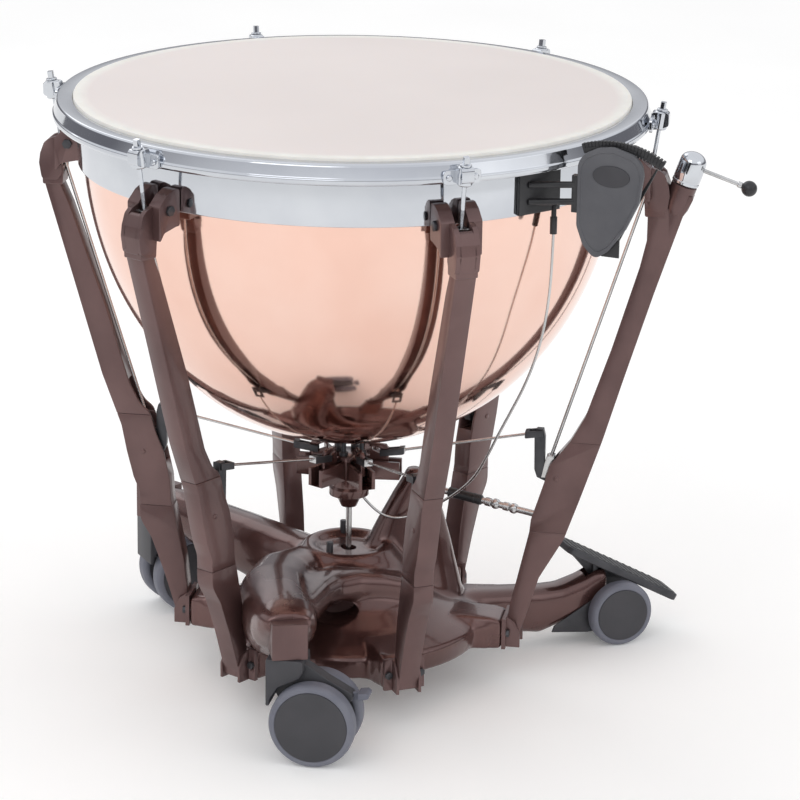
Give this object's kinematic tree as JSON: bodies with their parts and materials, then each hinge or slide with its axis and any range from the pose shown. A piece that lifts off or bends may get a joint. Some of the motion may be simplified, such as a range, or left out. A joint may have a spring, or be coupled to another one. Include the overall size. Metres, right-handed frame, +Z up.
{
  "type": "timpani drum",
  "caption": "Pedal timpani drum: copper kettle hung in a chrome ring on bent struts, with a pedal linkage, fine tuner, tuning gauge, swivel casters and fixed wheels.",
  "frame": {"origin": "on the kettle's axis at floor level", "axes": "+Z up along the kettle's axis; -Y towards the player and the pedal; +X to the player's right when facing the drum"},
  "size_m": [0.9585, 0.974, 0.908],
  "materials": {
    "copper": "polished copper",
    "chrome": "bright chrome",
    "skin": "coated film",
    "casting": "hammered bronze lacquer",
    "dark_steel": "satin dark grey",
    "steel": "zinc plated",
    "black_plastic": "matt black",
    "grey_plastic": "fine-grained grey",
    "wheel": "grey rubber tread",
    "dial": "off-white scale",
    "pointer": "red lacquer"
  },
  "bodies": {
    "stand": {"bowl": "copper", "suspension_ring": "chrome", "drum_skin": "skin", "struts": "casting", "tuner_strut": "casting", "base_casting": "casting", "hub_housing": "casting", "hub_studs": "steel", "foot_brackets": "casting", "frame_bolts": "steel", "wheel_bracket": "dark_steel", "gauge_shield": "grey_plastic", "gauge_dial": "dial", "gauge_bracket": "black_plastic", "gauge_cable": "steel"},
    "pedal": {"pedal_lever": "dark_steel", "pedal_board": "dark_steel"},
    "pedal_link": {"pedal_link": "dark_steel"},
    "base_crank": {"base_crank": "dark_steel"},
    "pull_rod": {"pull_rod": "steel"},
    "hoop": {"counterhoop": "chrome", "flesh_hoop": "steel", "hoop_lugs": "chrome"},
    "pointer": {"gauge_pointer": "pointer"},
    "fine_tuner": {"tuner_handle": "chrome", "tuner_shaft": "steel"},
    "cross_shaft": {"cross_shaft": "steel"},
    "lever_1": {"lever_1": "dark_steel"},
    "tension_rod_1": {"tension_rod_1": "steel"},
    "tie_rod_1": {"tie_rod_1": "steel"},
    "tension_screw_1": {"tension_screw_1": "chrome"},
    "lever_2": {"lever_2": "dark_steel"},
    "tension_rod_2": {"tension_rod_2": "steel"},
    "tie_rod_2": {"tie_rod_2": "steel"},
    "tension_screw_2": {"tension_screw_2": "chrome"},
    "lever_3": {"lever_3": "dark_steel"},
    "tension_rod_3": {"tension_rod_3": "steel"},
    "tie_rod_3": {"tie_rod_3": "steel"},
    "tension_screw_3": {"tension_screw_3": "chrome"},
    "lever_4": {"lever_4": "dark_steel"},
    "tension_rod_4": {"tension_rod_4": "steel"},
    "tie_rod_4": {"tie_rod_4": "steel"},
    "tension_screw_4": {"tension_screw_4": "chrome"},
    "lever_5": {"lever_5": "dark_steel"},
    "tension_rod_5": {"tension_rod_5": "steel"},
    "tie_rod_5": {"tie_rod_5": "steel"},
    "tension_screw_5": {"tension_screw_5": "chrome"},
    "lever_6": {"lever_6": "dark_steel"},
    "tension_rod_6": {"tension_rod_6": "steel"},
    "tie_rod_6": {"tie_rod_6": "steel"},
    "tension_screw_6": {"tension_screw_6": "chrome"},
    "front_caster": {"front_caster_fork": "grey_plastic"},
    "front_caster_wheels": {"front_caster_wheels": "wheel"},
    "front_caster_brake": {"front_caster_brake": "grey_plastic"},
    "rear_caster": {"rear_caster_fork": "grey_plastic"},
    "rear_caster_wheels": {"rear_caster_wheels": "wheel"},
    "rear_caster_brake": {"rear_caster_brake": "grey_plastic"},
    "pedal_wheel_left": {"pedal_wheel_left": "wheel"},
    "pedal_wheel_right": {"pedal_wheel_right": "wheel"}
  },
  "joints": [
    {"name": "pedal_hinge", "type": "hinge", "parent": "stand", "child": "pedal", "pos_m": [0, -0.411, 0.112], "axis": [-1, 0, 0], "range_deg": [0, 20]},
    {"name": "base_crank_hinge", "type": "hinge", "parent": "stand", "child": "base_crank", "pos_m": [0, -0.035, 0.107], "axis": [-1, 0, 0], "range_deg": [-0.2, 22.8]},
    {"name": "pedal_link_hinge", "type": "hinge", "parent": "pedal", "child": "pedal_link", "pos_m": [0, -0.403, 0.059], "axis": [-1, 0, 0], "range_deg": [-20.4, 0.2]},
    {"name": "pull_rod_slide", "type": "slide", "parent": "stand", "child": "pull_rod", "axis": [0, 0, -1], "range_m": [-0.0002, 0.0141]},
    {"name": "hoop_slide", "type": "slide", "parent": "stand", "child": "hoop", "axis": [0, 0, -1], "range_m": [-0.0001, 0.0042]},
    {"name": "pointer_hinge", "type": "hinge", "parent": "stand", "child": "pointer", "pos_m": [-0.44154, -0.21754, 0.76], "axis": [-0.7071, 0.7071, 0], "range_deg": [-1, 47]},
    {"name": "fine_tuner_spin", "type": "hinge", "parent": "stand", "child": "fine_tuner", "pos_m": [-0.245, -0.42435, 0.797], "axis": [-0.1606, -0.2781, 0.947], "range_deg": [-135, 135]},
    {"name": "cross_shaft_spin", "type": "hinge", "parent": "stand", "child": "cross_shaft", "pos_m": [-0.144, -0.2494, 0.267], "axis": [0.7114, 0.6974, 0.0862], "range_deg": [-136, 136]},
    {"name": "lever_1_hinge", "type": "hinge", "parent": "stand", "child": "lever_1", "pos_m": [-0.314, 0, 0.33], "axis": [0, 1, 0], "range_deg": [-0.2, 12.7]},
    {"name": "tension_rod_1_hinge", "type": "hinge", "parent": "lever_1", "child": "tension_rod_1", "pos_m": [-0.296, 0, 0.334], "axis": [0, 1, 0], "range_deg": [-12.7, 0.2]},
    {"name": "tie_rod_1_hinge", "type": "hinge", "parent": "lever_1", "child": "tie_rod_1", "pos_m": [-0.287, 0, 0.397], "axis": [0, 1, 0], "range_deg": [-12.7, 0.2]},
    {"name": "tension_screw_1_spin", "type": "hinge", "parent": "hoop", "child": "tension_screw_1", "pos_m": [-0.4505, 0, 0.893], "axis": [-0.1419, 0, 0.9899], "continuous": true},
    {"name": "lever_2_hinge", "type": "hinge", "parent": "stand", "child": "lever_2", "pos_m": [-0.157, 0.27193, 0.33], "axis": [0.866, 0.5, 0], "range_deg": [-0.2, 12.7]},
    {"name": "tension_rod_2_hinge", "type": "hinge", "parent": "lever_2", "child": "tension_rod_2", "pos_m": [-0.148, 0.25634, 0.334], "axis": [0.866, 0.5, 0], "range_deg": [-12.7, 0.2]},
    {"name": "tie_rod_2_hinge", "type": "hinge", "parent": "lever_2", "child": "tie_rod_2", "pos_m": [-0.1435, 0.24855, 0.397], "axis": [0.866, 0.5, 0], "range_deg": [-12.7, 0.2]},
    {"name": "tension_screw_2_spin", "type": "hinge", "parent": "hoop", "child": "tension_screw_2", "pos_m": [-0.22525, 0.39014, 0.893], "axis": [-0.0709, 0.1228, 0.9899], "continuous": true},
    {"name": "lever_3_hinge", "type": "hinge", "parent": "stand", "child": "lever_3", "pos_m": [0.157, 0.27193, 0.33], "axis": [0.866, -0.5, 0], "range_deg": [-0.2, 12.7]},
    {"name": "tension_rod_3_hinge", "type": "hinge", "parent": "lever_3", "child": "tension_rod_3", "pos_m": [0.148, 0.25634, 0.334], "axis": [0.866, -0.5, 0], "range_deg": [-12.7, 0.2]},
    {"name": "tie_rod_3_hinge", "type": "hinge", "parent": "lever_3", "child": "tie_rod_3", "pos_m": [0.1435, 0.24855, 0.397], "axis": [0.866, -0.5, 0], "range_deg": [-12.7, 0.2]},
    {"name": "tension_screw_3_spin", "type": "hinge", "parent": "hoop", "child": "tension_screw_3", "pos_m": [0.22525, 0.39014, 0.893], "axis": [0.0709, 0.1228, 0.9899], "continuous": true},
    {"name": "lever_4_hinge", "type": "hinge", "parent": "stand", "child": "lever_4", "pos_m": [0.314, 0, 0.33], "axis": [0, -1, 0], "range_deg": [-0.2, 12.7]},
    {"name": "tension_rod_4_hinge", "type": "hinge", "parent": "lever_4", "child": "tension_rod_4", "pos_m": [0.296, 0, 0.334], "axis": [0, -1, 0], "range_deg": [-12.7, 0.2]},
    {"name": "tie_rod_4_hinge", "type": "hinge", "parent": "lever_4", "child": "tie_rod_4", "pos_m": [0.287, 0, 0.397], "axis": [0, -1, 0], "range_deg": [-12.7, 0.2]},
    {"name": "tension_screw_4_spin", "type": "hinge", "parent": "hoop", "child": "tension_screw_4", "pos_m": [0.4505, 0, 0.893], "axis": [0.1419, 0, 0.9899], "continuous": true},
    {"name": "lever_5_hinge", "type": "hinge", "parent": "stand", "child": "lever_5", "pos_m": [0.157, -0.27193, 0.33], "axis": [-0.866, -0.5, 0], "range_deg": [-0.2, 12.7]},
    {"name": "tension_rod_5_hinge", "type": "hinge", "parent": "lever_5", "child": "tension_rod_5", "pos_m": [0.148, -0.25634, 0.334], "axis": [-0.866, -0.5, 0], "range_deg": [-12.7, 0.2]},
    {"name": "tie_rod_5_hinge", "type": "hinge", "parent": "lever_5", "child": "tie_rod_5", "pos_m": [0.1435, -0.24855, 0.397], "axis": [-0.866, -0.5, 0], "range_deg": [-12.7, 0.2]},
    {"name": "tension_screw_5_spin", "type": "hinge", "parent": "hoop", "child": "tension_screw_5", "pos_m": [0.22525, -0.39014, 0.893], "axis": [0.0709, -0.1228, 0.9899], "continuous": true},
    {"name": "lever_6_hinge", "type": "hinge", "parent": "stand", "child": "lever_6", "pos_m": [-0.157, -0.27193, 0.33], "axis": [-0.866, 0.5, 0], "range_deg": [-0.2, 12.7]},
    {"name": "tension_rod_6_hinge", "type": "hinge", "parent": "lever_6", "child": "tension_rod_6", "pos_m": [-0.148, -0.25634, 0.334], "axis": [-0.866, 0.5, 0], "range_deg": [-12.7, 0.2]},
    {"name": "tie_rod_6_hinge", "type": "hinge", "parent": "lever_6", "child": "tie_rod_6", "pos_m": [-0.1435, -0.24855, 0.397], "axis": [-0.866, 0.5, 0], "range_deg": [-12.7, 0.2]},
    {"name": "tension_screw_6_spin", "type": "hinge", "parent": "hoop", "child": "tension_screw_6", "pos_m": [-0.22525, -0.39014, 0.893], "axis": [-0.0709, -0.1228, 0.9899], "continuous": true},
    {"name": "front_caster_swivel", "type": "hinge", "parent": "stand", "child": "front_caster", "pos_m": [-0.288, 0.193, 0.141], "axis": [0, 0, 1], "continuous": true},
    {"name": "front_caster_roll", "type": "hinge", "parent": "front_caster", "child": "front_caster_wheels", "pos_m": [-0.30963, 0.157, 0.0625], "axis": [-0.8572, 0.515, 0], "continuous": true},
    {"name": "front_caster_brake_hinge", "type": "hinge", "parent": "front_caster", "child": "front_caster_brake", "pos_m": [-0.33435, 0.11585, 0.097], "axis": [0.8572, -0.515, 0], "range_deg": [0, 12]},
    {"name": "rear_caster_swivel", "type": "hinge", "parent": "stand", "child": "rear_caster", "pos_m": [0.334, 0.198, 0.141], "axis": [0, 0, 1], "continuous": true},
    {"name": "rear_caster_roll", "type": "hinge", "parent": "rear_caster", "child": "rear_caster_wheels", "pos_m": [0.33839, 0.15623, 0.0625], "axis": [-0.9945, -0.1045, 0], "continuous": true},
    {"name": "rear_caster_brake_hinge", "type": "hinge", "parent": "rear_caster", "child": "rear_caster_brake", "pos_m": [0.34341, 0.10849, 0.097], "axis": [0.9945, 0.1045, 0], "range_deg": [0, 12]},
    {"name": "pedal_wheel_left_roll", "type": "hinge", "parent": "stand", "child": "pedal_wheel_left", "pos_m": [0, -0.434, 0.051], "axis": [1, 0, 0], "continuous": true},
    {"name": "pedal_wheel_right_roll", "type": "hinge", "parent": "stand", "child": "pedal_wheel_right", "pos_m": [0, -0.434, 0.051], "axis": [1, 0, 0], "continuous": true}
  ],
  "couplings": [
    {"joint": "base_crank_hinge", "follows": "pedal_hinge", "ratio": 1.1205},
    {"joint": "pedal_link_hinge", "follows": "pedal_hinge", "ratio": -1},
    {"joint": "pull_rod_slide", "follows": "pedal_hinge", "m_per_rad": 0.039534},
    {"joint": "hoop_slide", "follows": "pedal_hinge", "m_per_rad": 0.011459},
    {"joint": "pointer_hinge", "follows": "pedal_hinge", "ratio": 2.3},
    {"joint": "cross_shaft_spin", "follows": "fine_tuner_spin", "ratio": 1},
    {"joint": "lever_1_hinge", "follows": "pedal_hinge", "ratio": 0.625},
    {"joint": "tension_rod_1_hinge", "follows": "pedal_hinge", "ratio": -0.625},
    {"joint": "tie_rod_1_hinge", "follows": "pedal_hinge", "ratio": -0.625},
    {"joint": "lever_2_hinge", "follows": "pedal_hinge", "ratio": 0.625},
    {"joint": "tension_rod_2_hinge", "follows": "pedal_hinge", "ratio": -0.625},
    {"joint": "tie_rod_2_hinge", "follows": "pedal_hinge", "ratio": -0.625},
    {"joint": "lever_3_hinge", "follows": "pedal_hinge", "ratio": 0.625},
    {"joint": "tension_rod_3_hinge", "follows": "pedal_hinge", "ratio": -0.625},
    {"joint": "tie_rod_3_hinge", "follows": "pedal_hinge", "ratio": -0.625},
    {"joint": "lever_4_hinge", "follows": "pedal_hinge", "ratio": 0.625},
    {"joint": "tension_rod_4_hinge", "follows": "pedal_hinge", "ratio": -0.625},
    {"joint": "tie_rod_4_hinge", "follows": "pedal_hinge", "ratio": -0.625},
    {"joint": "lever_5_hinge", "follows": "pedal_hinge", "ratio": 0.625},
    {"joint": "tension_rod_5_hinge", "follows": "pedal_hinge", "ratio": -0.625},
    {"joint": "tie_rod_5_hinge", "follows": "pedal_hinge", "ratio": -0.625},
    {"joint": "lever_6_hinge", "follows": "pedal_hinge", "ratio": 0.625},
    {"joint": "tension_rod_6_hinge", "follows": "pedal_hinge", "ratio": -0.625},
    {"joint": "tie_rod_6_hinge", "follows": "pedal_hinge", "ratio": -0.625}
  ]
}
